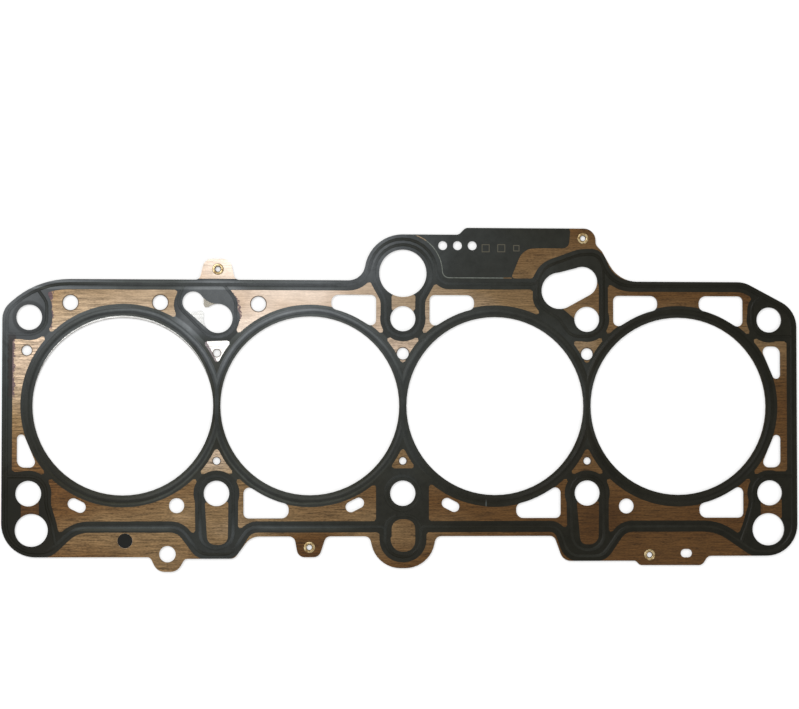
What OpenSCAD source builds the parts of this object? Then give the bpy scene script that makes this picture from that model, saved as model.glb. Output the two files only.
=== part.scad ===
// Multi-layer steel cylinder head gasket for an inline four.
// Lies flat. X runs along the bore row, Y towards the upper edge, Z is up.
// The origin is under the middle of the bore row, on the plane that the lower beads rest on.

/* [Bores] */
// Distance from one bore centre to the next
bore_pitch = 88; // [87:0.5:90]
// Width of the web left between two bores
bore_web = 3.4; // [3:0.1:5]
// How far the middle sheet's bores stand back from the bore wall
middle_setback = 0.1; // [0.05:0.05:0.5]
// How far the middle sheet's first bore sits below the bore line, which bares a crescent of it
first_bore_drop = 1.1; // [0.2:0.1:1.4]
// Width of the coated ring round a bore
bore_ring_w = 5.6; // [5:0.1:6]

/* [Layers] */
// Thickness of each outer sheet
active_t = 0.25; // [0.2:0.01:0.35]
// Thickness of the middle sheet
middle_t = 0.6; // [0.4:0.05:1]
// Thickness of the elastomer coating
coat_t = 0.08; // [0.05:0.01:0.12]

/* [Beads] */
// Height of a bead above the coated face
bead_h = 0.25; // [0.15:0.01:0.35]
// Width of the embossed bead round a bore
bore_bead_w = 3.2; // [2.6:0.1:3.6]
// Width of the moulded beads along the rim and round bolts and passages
seal_bead_w = 1.9; // [1.4:0.1:2]

/* [Coated fields] */
// Width of the coated track along the rim
track_w = 5.3; // [5:0.1:5.6]
// Distance from the rim to the middle of that track
rim_inset = 2.2; // [2:0.1:2.6]
// Radius of the coated ring round a bolt hole
bolt_ring_r = 10.8; // [9.8:0.1:11]
// Coated margin outside the middle of a moulded bead
loop_margin = 2.3; // [2.1:0.1:2.5]
// Radius of a bare field's corners, and half the gap that the coating bridges
bare_r = 1.1; // [0.8:0.1:1.3]
// Width of the bare line round the marking plate
plate_line_w = 0.4; // [0.3:0.05:0.6]

/* [Bolt holes] */
// How far a bolt row lies inside the line that touches the bores
bolt_inset = 0.9; // [0.3:0.1:1.5]
// Diameter of a head bolt hole
bolt_d = 12; // [11:0.1:12.6]

/* [Passages] */
// Diameter of the large feed hole at the middle of the upper edge
feed_d = 22.6; // [21:0.2:24]
// Diameter of the drain hole in each lower corner
drain_d = 15.4; // [14:0.1:16]
// Diameter of the small coolant holes beside the bores
coolant_d = 7.1; // [6:0.1:7.6]
// Diameter of the small vents in the webs
vent_d = 3.4; // [3:0.1:3.8]
// Diameter of the large vents in the webs
wide_vent_d = 5.6; // [5:0.1:5.8]
// Diameter of the locating hole in the lower tab
locating_d = 7.7; // [7:0.1:8]
// Diameter of the thickness marking holes
mark_d = 4.3; // [4:0.1:4.6]

/* [Rivets] */
// Outer diameter of a rivet's flange
rivet_d = 5.4; // [5:0.1:6]
// Hole through a rivet
rivet_bore_d = 2.4; // [2:0.1:2.8]
// Outer diameter of a rivet's barrel
rivet_shank_d = 3.4; // [3.2:0.1:3.8]
// Thickness of a rivet's flange
rivet_flange_t = 0.2; // [0.15:0.01:0.25]

/* [Hidden] */

// How far the straight pieces of a rounded corner may stand off its arc
edge_sag = 0.04;
// The same for a moulded bead
bead_sag = 0.1;
// Overlap of a cutter past the face that it cuts
cut = 0.05;
// Gap between the inner coated patch and the wall of the sight hole round it
patch_gap = 0.05;
// Depth that a moulded bead's foot reaches into its coating
bead_root = coat_t / 2;

// Heights of the stack, from the tips of the lower beads up
z_lower_coat = bead_h;
z_lower = z_lower_coat + coat_t;
z_middle = z_lower + active_t;
z_upper = z_middle + middle_t;
z_upper_coat = z_upper + active_t;

// Bore of the two outer sheets
bore_d = bore_pitch - bore_web;
bore_x = [for (i = [-1.5 : 1 : 1.5]) i * bore_pitch];
bore_bead_r = bore_d / 2 + 2.8;
bore_bead_crest = 0.9;
seal_bead_crest = 0.6;
web_ridge_w = 2;
// Length over which two neighbouring bore beads are drawn into one ridge
web_ridge_l = 2 * sqrt(pow(bore_bead_r, 2) - pow(bore_pitch / 2, 2)) + 2;
rivet_edge = rivet_flange_t / 2;
bolt_y = bore_d / 2 - bolt_inset;
upper_bolts = [for (i = [-2, 0, 1, 2]) [i * bore_pitch, bolt_y]];
lower_bolts = [for (i = [-2 : 2]) [i * bore_pitch, -bolt_y]];

// Outlines and places below are drawn for a bore pitch of 88 mm and bolt rows at 41.4 mm. placed()
// fits them to the sizes in use: X and radii grow with the pitch, and Y moves out with the bolt row.
drawn_pitch = 88;
drawn_row = 41.4;
stretch = bore_pitch / drawn_pitch;
function placed_y(y) = y + sign(y) * (bolt_y - drawn_row) * min(1, abs(y) / drawn_row);
function placed(rows) =
    [for (p = rows) [for (i = [0 : len(p) - 1])
        i == 0 ? p[0] * stretch : i == 1 ? placed_y(p[1]) : i == 2 ? p[2] * stretch : p[i]]];

// Outer lines of the sheet
left_x = -188.5;
right_x = 189.35;
rim_y = 59.5;
foot_y = -61.7;
corner_y = -71.4;
plate_y = 84.8;

feed_at = placed([[0, 63]])[0];
drains_at = placed([[-174.5, -58.6], [175.3, -58.8]]);
locating_at = placed([[-110.9, -69.9]])[0];
upper_coolant = placed([[-156.8, 48.4], [-114.7, 48.6], [-68.5, 48.1]]);
lower_coolant = placed([[-106.7, -47.1], [106.8, -47.6]]);
pin_hole_at = placed([[-177, 25.8]])[0];
pin_hole_d = 4.6;
mark_at = placed([for (i = [0 : 2]) [19 + 7.05 * i, 76.3]]);
vent_y = placed_y(24.8);
lower_vent_y = placed_y(-26.1);
sight_hole_at = placed([[-130.8, -63.6]])[0];
sight_hole_d = 7;
rivet_at = placed([[-87.6, 64.5], [86.2, 80.1], [-44.2, -66.9], [117.9, -70.8]]);

// Peanut passage: a small oil lobe that runs into an upper bolt hole
oil_lobes = placed([[-99.3, 48.9, 5], [-87.6, 41.2, 6.9]]);
// Return passage: two lobes joined by their tangents
return_lobes = placed([[75, 55, 8.7], [85.9, 59.3, 7.2]]);

// Slots: centre, length, width, tilt
slots = placed([[-153.4, -47, 8.8, 5.3, -26],
                   [-22.75, -46.9, 9.2, 5, 27],
                   [22.7, -46.95, 8.8, 4.9, -27],
                   [135.6, -70.1, 5.5, 4, 0]]);

// Extra distance from the bore row to the lower water windows
window_drop = 0.5;
// Water windows beside a bolt: bolt column, side, row
window_at = [[0, -1, 1], [0, 1, 1], [1, 1, 1], [2, -1, 1], [-1, 1, -1], [1, -1, -1], [2, -1, -1]];
// Water windows at the ends: end, row
end_window_at = [[-1, -1], [1, -1], [1, 1]];

// ---- Rounded outlines -------------------------------------------------------------------

function unit(v) = v / norm(v);

// Points of the rounded corner at b, between a and c; b holds x, y and the corner's radius
function corner(a, b, c, sag) =
    let (p = [b.x, b.y],
         u = unit([a.x, a.y] - p),
         v = unit([c.x, c.y] - p),
         half = acos(max(-1, min(1, u * v))) / 2,
         r = b.z)
    r <= 0 || half > 89.5 ? [p] :
    let (centre = p + unit(u + v) * r / sin(half),
         from = p + u * r / tan(half) - centre,
         start = atan2(from.y, from.x),
         side = u.x * v.y - u.y * v.x > 0 ? -1 : 1,
         sweep = side * (180 - 2 * half),
         n = max(1, ceil(abs(sweep) / acos(1 - min(1, sag / r)) / 2)))
    [for (k = [0 : n]) centre + r * [cos(start + sweep * k / n), sin(start + sweep * k / n)]];

// Closed outline through corners [x, y, radius]
function rounded(pts, sag = edge_sag) =
    let (n = len(pts))
    [for (i = [0 : n - 1]) each corner(pts[(i + n - 1) % n], pts[i], pts[(i + 1) % n], sag)];

// Open path with rounded corners between its two ends
function open_path(pts, sag) =
    let (n = len(pts))
    concat([[pts[0].x, pts[0].y]],
           [for (i = [1 : n - 2]) each corner(pts[i - 1], pts[i], pts[i + 1], sag)],
           [[pts[n - 1].x, pts[n - 1].y]]);

// Outline of the gasket, clockwise from the upper left
sheet_corners = placed([
    [left_x, 45, 10], [-172.5, rim_y, 40],
    [-96.2, rim_y, 2.5], [-94, 69.4, 4.6], [-81.9, 69.4, 4.6], [-79.6, rim_y, 2.5],
    [-19.1, rim_y, 8.1], [-15.4, 81.5, 18.1],
    [26.6, 81.5, 2.5], [29.9, plate_y, 2.5], [92.3, plate_y, 5.6],
    [92.3, 77.2, 3], [95.3, 74, 3], [103.4, rim_y, 15],
    [164, rim_y, 13], [right_x, 46.1, 13.5],
    [right_x, corner_y, 15],
    [146, corner_y, 3], [143.2, -75.8, 3], [113.2, -75.7, 2], [111.3, -73.6, 2],
    [76.5, -73.6, 5], [72.2, foot_y, 3],
    [15.8, foot_y, 3], [12.6, -76.8, 14], [-12.2, -76.8, 14], [-15.7, foot_y, 3],
    [-36.4, foot_y, 2.8], [-39.6, -71.5, 3.6], [-49.5, -71.5, 3.6], [-51.3, foot_y, 3],
    [-71.9, foot_y, 8], [-79.5, -72.1, 3.5],
    [-102.8, -72.1, 2], [-106.2, -78.2, 5.5], [-115.6, -78.2, 5.5], [-119, -71.3, 2],
    [left_x, -71.2, 16]
]);

// Centre line of the main seal, which follows the rim and turns in round the passages
main_seal = placed([
    [left_x + rim_inset, 44.1, 8], [-171.8, rim_y - rim_inset, 37],
    [-17.25, rim_y - rim_inset, 10.2], [-13.5, 79.3, 15.9], [15.3, 79.3, 15.9], [16.25, 58.1, 6],
    [63.5, 58.1, 3], [67.8, 66.2, 10], [84.5, 72.3, 16], [93.4, 72.6, 5], [99.6, rim_y - rim_inset, 15],
    [163.6, rim_y - rim_inset, 11], [right_x - rim_inset, 44.8, 11],
    [right_x - rim_inset, corner_y + rim_inset, 12.6],
    [168.4, corner_y + rim_inset, 9], [150.8, -57.2, 22], [105, -57.2, 9], [95.4, -71.3, 7],
    [79.2, -71.3, 7], [74.4, -57.2, 6],
    [8.6, -57.2, 2], [8.6, -71.4, 8.2], [-8.4, -71.4, 8.2], [-8.4, -57.2, 2],
    [-73.1, -57.2, 8], [-80.8, -69.9, 6], [-95.5, -69.9, 7], [-105, -57.1, 9],
    [-154.2, -57.1, 16], [-166.6, -69, 9], [left_x + rim_inset, -69, 13.6]
]);

// Closed beads round the passages and bolts
feed_seal = placed([[-13.6, 76.6, 13.5], [13.6, 76.6, 13.5], [13.6, 60, 8], [8.3, 50.4, 8],
                       [8.3, 33.1, 8], [-8.3, 33.1, 8], [-8.3, 50.4, 8], [-13.6, 60, 8]]);
left_loop = placed([[-96, -33.2, 7.8], [-80, -33.2, 7.8], [-80.2, -67.4, 7.4], [-95.5, -67.4, 7]]);
right_loop = placed([[80, -33.2, 7.8], [96, -33.2, 7.8], [96, -68.4, 7.4], [81, -68.4, 7]]);
closed_seals = [feed_seal, left_loop, right_loop];
// Beads that branch off the main seal, run round a passage or bolt and come back to it
return_branch = placed([
    [64.6, 60.2, 0], [64.2, 48.4, 7], [74.6, 41.6, 6], [80.4, 33.2, 7], [96, 33.2, 8], [95.8, 66.8, 0]
]);
oil_branch = placed([
    [-103.5, rim_y - rim_inset, 0], [-107.3, 47.8, 7], [-91.5, 31.9, 8], [-79.2, 33.6, 8],
    [-79.2, 50, 8], [-85, rim_y - rim_inset, 0]
]);
middle_branch = placed([[8.6, -59, 0], [8.6, -51.9, 7], [-8.4, -51.9, 7], [-8.4, -59, 0]]);
left_bolt_branch = placed([
    [left_x + rim_inset, 33.4, 0], [-167.8, 33.4, 7.8], [-167.8, 48.6, 6], [-172, 54.4, 0]
]);
right_bolt_branch = placed([
    [right_x - rim_inset, 33.4, 0], [167.8, 33.4, 7.8], [167.8, 48.6, 6], [172.4, 52.63, 0]
]);
left_drain_branch = placed([
    [left_x + rim_inset, -33.4, 0], [-167.8, -33.4, 7.6], [-167.6, -47, 8], [-164.9, -56, 8],
    [-163, -65.54, 0]
]);
right_drain_branch = placed([
    [right_x - rim_inset, -33.4, 0], [167.9, -33.4, 7.6], [168, -47, 8], [165.4, -56, 8],
    [162, -64.83, 0]
]);
branches = [return_branch, oil_branch, middle_branch, left_bolt_branch, right_bolt_branch,
            left_drain_branch, right_drain_branch];
// Outlines of the coated fields round them, each to be widened by loop_margin
branch_fields = [
    concat(return_branch, placed([[88, 71, 0], [70, 65, 0]])),
    middle_branch,
    concat(left_bolt_branch, placed([[-180, 48, 0]])),
    concat(right_bolt_branch, placed([[182, 46, 0]])),
    concat(left_drain_branch, placed([[left_x + rim_inset, -69, 12]])),
    concat(right_drain_branch, placed([[right_x - rim_inset, -69, 12]]))
];

// Middle lower bolt, whose bead is a plain ring
ring_bead_r = bolt_d / 2 + 2.2;

// Dark plate that carries the marking holes, and the bare patches inside the coated fields
plate_corners = placed([[2, 60.3, 0], [2, 86, 0], [80.4, 86, 3], [79.3, 75.3, 3],
                           [57.5, 75.2, 8], [51.4, 60.3, 0.5]]);
// Span of the bare line between the plate and the rim track
plate_line_from = placed([[4, 55]])[0];
plate_line_to = placed([[52, 81]])[0];
oil_field = placed([[-104.6, 58, 0], [-109.3, 47.5, 10], [-106.6, 41.7, 0], [-95.5, 30.2, 2],
                       [-80.4, 30.8, 4], [-76.7, 42, 6], [-84.5, 58, 0]]);
middle_block = placed([[-12.7, -38, 0], [-5, -29.6, 0], [5.3, -29.6, 0], [12.4, -38, 0],
                          [12.4, -57, 0], [-12.7, -57, 0]]);
bare_patches = [
    [[-5.4, 53, 0], [6, 53, 0], [5.8, 45, 0], [-5.3, 45, 0]],
    [[74.6, 48, 0], [84, 54, 0], [93, 60.5, 1], [93.8, 57, 1], [93.8, 40, 0], [86, 37, 0],
     [82.5, 41.3, 1]],
    [[-93.5, -45, 0], [-82.4, -45, 0], [-82.6, -65.6, 4], [-92.2, -65.6, 4]],
    [[82.9, -45, 0], [93.7, -45, 0], [93.4, -65.8, 4.2], [84.8, -65.8, 3.2]],
    [[-5.3, -53.7, 4.6], [5.9, -53.7, 4.6], [5.9, -69, 5], [-5.3, -69, 5]],
    [[-179.4, -44, 0], [-171, -44, 0], [-171, -54, 0], [-179.4, -54, 0]],
    [[171.6, -44, 0], [181.8, -44, 0], [181.8, -54, 0], [171.6, -54, 0]]
];

// ---- Flat shapes ------------------------------------------------------------------------

module disc(at, d) translate([at.x, at.y]) circle(d = d, $fn = 96);

module slot(s)
    translate([s[0], s[1]]) rotate(s[4]) {
        square([s[2] - s[3], s[3]], center = true);
        for (side = [-1, 1])
            translate([side * (s[2] - s[3]) / 2, 0]) circle(d = s[3], $fn = 48);
    }

// Window on the right of the bolt at the origin: three straight sides and the bore's arc
module water_window() {
    arc_r = bore_d / 2 + 4.9;
    inner_x = 12.7 * stretch;
    outer_x = 34 * stretch;
    top = bolt_y + 11.3;
    // Height at x of the arc that the window shares with the bore
    function arc_y(x) = sqrt(pow(arc_r, 2) - pow(bore_pitch / 2 - x, 2));
    arc = [for (a = [58, 61.5, 65, 68.5, 72]) [bore_pitch / 2 - arc_r * cos(a), arc_r * sin(a), 0]];
    polygon(rounded(concat([[outer_x, top, 3.4], [inner_x, top, 2.4], [inner_x, arc_y(inner_x) + 0.8, 2.6]],
                           arc, [[outer_x, arc_y(outer_x), 2.8]])));
}

module end_window()
    polygon(rounded(placed([[171.6, 28.7, 2.6], [181.4, 28.7, 3.4], [181.4, 13.2, 1.9], [178.2, 13.2, 1.6]])));

// Turns a shape of the upper right quarter into the quarter given by side and row
module quarter(side, row)
    translate([0, row < 0 ? -window_drop : 0]) scale([side, row]) children();

module windows() {
    for (w = window_at)
        translate([w[0] * bore_pitch, 0]) quarter(w[1], w[2]) water_window();
    for (e = end_window_at)
        quarter(e[0], e[1]) end_window();
}

// Two lobes [x, y, radius] whose waist is filled to the radius r
module lobes(a, b, r)
    offset(r = -r) offset(delta = r) {
        disc(a, 2 * a[2]);
        disc(b, 2 * b[2]);
    }

// Area between two lobes and their common tangent, on the right-hand side from a to b
module tangent_fill(a, b) {
    d = [b.x - a.x, b.y - a.y];
    turn = atan2(d.y, d.x) - acos((a[2] - b[2]) / norm(d));
    n = [cos(turn), sin(turn)];
    polygon([[a.x, a.y], [a.x, a.y] + a[2] * n, [b.x, b.y] + b[2] * n, [b.x, b.y]]);
}

module oil_passage(waist_r) lobes(oil_lobes[0], oil_lobes[1], waist_r);

module return_passage() {
    lobes(return_lobes[0], return_lobes[1], 40);
    tangent_fill(return_lobes[0], return_lobes[1]);
}

// Openings that every sheet shares
module common_openings() {
    for (b = concat(upper_bolts, lower_bolts)) disc(b, bolt_d);
    disc(feed_at, feed_d);
    for (p = drains_at) disc(p, drain_d);
    disc(locating_at, locating_d);
    for (p = concat(upper_coolant, lower_coolant)) disc(p, coolant_d);
    disc(pin_hole_at, pin_hole_d);
    for (p = mark_at) disc(p, mark_d);
    disc([-bore_pitch, vent_y], vent_d);
    for (x = [0, bore_pitch]) disc([x, vent_y], wide_vent_d);
    for (x = [-bore_pitch, 0, bore_pitch]) disc([x, lower_vent_y], vent_d);
    for (s = slots) slot(s);
    windows();
    return_passage();
}

module sheet_outline() polygon(rounded(sheet_corners));

module outer_openings() {
    for (x = bore_x) disc([x, 0], bore_d);
    common_openings();
    oil_passage(9);
    tangent_fill(oil_lobes[0], oil_lobes[1]);
}

module rivet_holes() for (p = rivet_at) disc(p, rivet_shank_d);

// ---- Coated fields ----------------------------------------------------------------------

module loop_field(path, grow) offset(r = grow) polygon(rounded(path));

module rim_track()
    difference() {
        loop_field(main_seal, track_w / 2);
        loop_field(main_seal, -track_w / 2);
    }

module seal_fields()
    difference() {
        union() {
            rim_track();
            for (path = closed_seals) loop_field(path, loop_margin);
            for (path = branch_fields) loop_field(path, loop_margin);
            polygon(rounded(oil_field));
            for (x = bore_x) disc([x, 0], bore_d + 2 * bore_ring_w);
            for (b = concat(upper_bolts, lower_bolts)) disc(b, 2 * bolt_ring_r);
            polygon(rounded(plate_corners));
            polygon(rounded(middle_block));
        }
        for (p = bare_patches) polygon(rounded(placed(p)));
    }

// Thin bare line between the marking plate and the rim track
module plate_line()
    intersection() {
        difference() {
            loop_field(main_seal, track_w / 2 + plate_line_w);
            loop_field(main_seal, track_w / 2);
        }
        translate(plate_line_from) square(plate_line_to - plate_line_from);
    }

// The coating's plan: the sheet's outline without its bare fields, whose corners are rounded
module coated_plan()
    difference() {
        intersection() {
            sheet_outline();
            offset(r = -bare_r) offset(delta = bare_r) seal_fields();
        }
        plate_line();
        outer_openings();
        rivet_holes();
    }

// ---- Beads ------------------------------------------------------------------------------

// Section of the embossed bead: the foot at z = 0, on a skirt that reaches down by skirt
module bead_section(r, skirt, rise)
    polygon([[r - bore_bead_w / 2, -skirt], [r - bore_bead_w / 2, rise],
             [r - bore_bead_crest / 2, rise + bead_h], [r + bore_bead_crest / 2, rise + bead_h],
             [r + bore_bead_w / 2, rise], [r + bore_bead_w / 2, -skirt]]);

// Embossed beads round the four bores, which meet in one ridge in each web
module bore_beads(skirt, rise)
    for (i = [0 : 3])
        translate([bore_x[i], 0, 0])
            intersection() {
                union() {
                    rotate_extrude($fn = 180) bead_section(bore_bead_r, skirt, rise);
                    for (side = [-1, 1])
                        if (i + side >= 0 && i + side <= 3)
                            translate([side * bore_pitch / 2, 0, 0]) web_ridge(skirt, rise);
                }
                translate([i == 0 ? -bore_pitch : -bore_pitch / 2, -bore_pitch, -1])
                    cube([i == 0 || i == 3 ? 1.5 * bore_pitch : bore_pitch, 2 * bore_pitch, 3]);
            }

module web_ridge(skirt, rise)
    translate([0, web_ridge_l / 2, 0]) rotate([90, 0, 0])
        linear_extrude(web_ridge_l)
            polygon([[-web_ridge_w / 2, -skirt], [-web_ridge_w / 2, rise],
                     [-bore_bead_crest / 2, rise + bead_h], [bore_bead_crest / 2, rise + bead_h],
                     [web_ridge_w / 2, rise], [web_ridge_w / 2, -skirt]]);

// Points of the moulded bead's section at the point p of its path
function bead_ring(p, side) =
    [[p + side * seal_bead_w / 2, -bead_root], [p + side * seal_bead_crest / 2, bead_h],
     [p - side * seal_bead_crest / 2, bead_h], [p - side * seal_bead_w / 2, -bead_root]];

// Sideways step of a mitred path at its point i, towards the left of its run
function path_side(pts, i, closed) =
    let (n = len(pts),
         u = !closed && i == 0 ? unit(pts[1] - pts[0]) : unit(pts[i] - pts[(i + n - 1) % n]),
         v = !closed && i == n - 1 ? u : unit(pts[(i + 1) % n] - pts[i]))
    [-u.y - v.y, u.x + v.x] / (1 + u * v);

// Bead of trapezoid section along a path, mitred at its corners, with its foot at z = 0
module moulded_bead(path, closed = true) {
    pts = closed ? rounded(path, bead_sag) : open_path(path, bead_sag);
    n = len(pts);
    rings = [for (i = [0 : n - 1])
        for (q = bead_ring(pts[i], path_side(pts, i, closed))) [q[0].x, q[0].y, q[1]]];
    sides = [for (i = [0 : closed ? n - 1 : n - 2], k = [0 : 3])
        let (a = 4 * i, b = 4 * ((i + 1) % n), m = (k + 1) % 4)
        [a + k, b + k, b + m, a + m]];
    ends = closed ? [] : [[0, 1, 2, 3], [for (k = [3, 2, 1, 0]) 4 * (n - 1) + k]];
    polyhedron(rings, concat(sides, ends), convexity = 10);
}

// ---- Pieces -----------------------------------------------------------------------------

// Outer sheet lying face up at z = 0, with its bore beads pressed up
module outer_sheet(sight_hole)
    difference() {
        union() {
            linear_extrude(active_t)
                difference() {
                    sheet_outline();
                    outer_openings();
                    rivet_holes();
                    if (sight_hole) disc(sight_hole_at, sight_hole_d);
                }
            translate([0, 0, active_t]) bore_beads(bead_root, 0);
        }
        bore_beads(cut, 0);
    }

// Coating face up at z = 0, with its own beads and a skin over the bore beads
module face_coating(sight_hole)
    difference() {
        union() {
            linear_extrude(coat_t)
                difference() {
                    coated_plan();
                    if (sight_hole) disc(sight_hole_at, sight_hole_d);
                }
            bore_beads(0, coat_t);
            translate([0, 0, coat_t]) {
                moulded_bead(main_seal);
                for (path = closed_seals) moulded_bead(path);
                for (path = branches) moulded_bead(path, closed = false);
                translate([0, -bolt_y, 0]) ring_bead();
            }
        }
        bore_beads(cut, 0);
    }

module ring_bead()
    rotate_extrude($fn = 96)
        polygon([for (q = bead_ring([ring_bead_r, 0], [1, 0])) [q[0].x, q[1]]]);

module upper_layer() color("Tan") translate([0, 0, z_upper]) outer_sheet(true);

module upper_coating() color("DarkSlateGray") translate([0, 0, z_upper_coat]) face_coating(true);

module middle_layer()
    color("Silver") translate([0, 0, z_middle])
        linear_extrude(middle_t)
            difference() {
                sheet_outline();
                translate([bore_x[0], -first_bore_drop]) circle(d = bore_d + 2 * middle_setback, $fn = 180);
                for (i = [1 : 3]) disc([bore_x[i], 0], bore_d + 2 * middle_setback);
                common_openings();
                oil_passage(1.5);
                rivet_holes();
            }

// Coated patch of the middle sheet, seen through the sight hole
module inner_coating()
    color("DimGray") translate([sight_hole_at.x, sight_hole_at.y, z_upper])
        cylinder(d = sight_hole_d - 2 * patch_gap, h = coat_t, $fn = 96);

module lower_layer()
    color("Tan") translate([0, 0, z_middle]) mirror([0, 0, 1]) outer_sheet(false);

module lower_coating()
    color("DarkSlateGray") translate([0, 0, z_lower]) mirror([0, 0, 1]) face_coating(false);

// Hollow rivet with a flange rolled over on each face
module rivet(i)
    color("Gold") translate([rivet_at[i].x, rivet_at[i].y, 0])
        rotate_extrude($fn = 64)
            polygon([[rivet_bore_d / 2, z_lower - rivet_flange_t],
                     [rivet_d / 2 - rivet_edge, z_lower - rivet_flange_t],
                     [rivet_d / 2, z_lower - rivet_edge], [rivet_d / 2, z_lower],
                     [rivet_shank_d / 2, z_lower], [rivet_shank_d / 2, z_upper_coat],
                     [rivet_d / 2, z_upper_coat], [rivet_d / 2, z_upper_coat + rivet_edge],
                     [rivet_d / 2 - rivet_edge, z_upper_coat + rivet_flange_t],
                     [rivet_bore_d / 2, z_upper_coat + rivet_flange_t]]);

upper_layer();
upper_coating();
middle_layer();
inner_coating();
lower_layer();
lower_coating();
rivet(0);  // rivet_upper_left
rivet(1);  // rivet_upper_right
rivet(2);  // rivet_lower_left
rivet(3);  // rivet_lower_right
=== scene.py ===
"""Dresses the cylinder head gasket and sets its floor, light and camera."""

import logging
import math
from dataclasses import dataclass, field
from enum import Enum
from typing import Callable, Sequence

import bmesh
import bpy
from mathutils import Matrix, Quaternion, Vector

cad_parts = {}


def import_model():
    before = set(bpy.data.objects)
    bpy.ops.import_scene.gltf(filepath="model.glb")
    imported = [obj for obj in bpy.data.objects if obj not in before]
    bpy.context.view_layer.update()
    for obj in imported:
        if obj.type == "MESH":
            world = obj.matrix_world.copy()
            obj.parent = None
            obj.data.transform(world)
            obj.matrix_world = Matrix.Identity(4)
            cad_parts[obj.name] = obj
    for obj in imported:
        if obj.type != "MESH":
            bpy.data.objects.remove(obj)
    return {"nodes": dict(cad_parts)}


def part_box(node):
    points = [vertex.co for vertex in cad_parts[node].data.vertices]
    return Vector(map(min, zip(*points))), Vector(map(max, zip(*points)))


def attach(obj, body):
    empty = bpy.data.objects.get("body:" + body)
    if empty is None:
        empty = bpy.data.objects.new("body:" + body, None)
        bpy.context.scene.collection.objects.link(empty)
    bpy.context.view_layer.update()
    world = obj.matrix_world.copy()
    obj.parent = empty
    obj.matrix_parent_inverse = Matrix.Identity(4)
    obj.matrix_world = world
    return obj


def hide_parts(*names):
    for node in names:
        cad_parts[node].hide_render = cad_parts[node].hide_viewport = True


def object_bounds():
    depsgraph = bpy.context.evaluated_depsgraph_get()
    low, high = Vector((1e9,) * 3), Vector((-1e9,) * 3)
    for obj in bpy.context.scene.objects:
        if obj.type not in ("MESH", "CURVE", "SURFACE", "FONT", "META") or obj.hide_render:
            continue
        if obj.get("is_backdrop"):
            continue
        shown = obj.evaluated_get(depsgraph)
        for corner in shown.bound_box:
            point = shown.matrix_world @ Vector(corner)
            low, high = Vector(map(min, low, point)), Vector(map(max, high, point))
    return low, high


LOG = logging.getLogger("gasket")
MM = 0.001

# Sizes of the gasket in millimetres.
BORE_PITCH = 88.0
MID_PLANE = 0.88
BEAD_RISE = 0.25

Colour = tuple[float, float, float]
Point = tuple[float, float]
Span = tuple[float, float]
Socket = bpy.types.NodeSocket


class Slot(Enum):
    """Material slots of the record."""

    LACQUERED = "lacquered_steel"
    BRIGHT = "bright_steel"
    ELASTOMER = "elastomer"
    RIVET = "rivet_steel"


def linear(rgb: Colour) -> tuple[float, float, float, float]:
    """Turns a display colour into scene-linear RGBA.

    Args:
        rgb: Red, green and blue from 0 to 255.

    Returns:
        The linear colour with an alpha of 1.
    """
    out = []
    for channel in rgb:
        c = channel / 255
        out.append(c / 12.92 if c <= 0.04045 else ((c + 0.055) / 1.055) ** 2.4)
    return (out[0], out[1], out[2], 1.0)


@dataclass(frozen=True)
class Glow:
    """Broad soft spot that lifts the tone of a finish as painted highlight, or lowers it as painted
    shade.

    Attributes:
        centre: X and Y in millimetres.
        radii: Half axes in millimetres.
        weight: How far it lifts the tone at its middle.
    """

    centre: Point
    radii: Point
    weight: float


@dataclass(frozen=True)
class Dim:
    """Soft spot of painted shade, where a finish is darker.

    Attributes:
        centre: X and Y in millimetres.
        radii: Half axes in millimetres.
        soft: Share of the radii over which it fades out.
        level: Share of the light that is left at its middle.
    """

    centre: Point
    radii: Point
    soft: float
    level: float


@dataclass(frozen=True)
class Ring:
    """Soft ring round every bore, where painted highlight makes the coating lighter and painted shade
    makes it darker.

    Attributes:
        low: Inner radius in millimetres.
        high: Outer radius in millimetres.
        everywhere: Change of the coating's light on the whole ring.
        top: Further change on the upper left.
        foot: Further change on the lower left.
    """

    low: float
    high: float
    everywhere: float
    top: float
    foot: float


@dataclass(frozen=True)
class Hole:
    """Round hole in the sheets.

    Attributes:
        centre: X and Y in millimetres.
        radius: Radius in millimetres.
    """

    centre: Point
    radius: float


@dataclass(frozen=True)
class Stain:
    """Stain along an edge of the coating.

    Attributes:
        across: Where it lies across its run, in millimetres.
        along: Lowest and highest Y, in millimetres.
        fade: Half the length over which its ends fade, in millimetres.
        edge: Half the length over which its sides fade, in millimetres.
    """

    across: Span
    along: Span
    fade: float
    edge: float = 0.15


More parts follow.
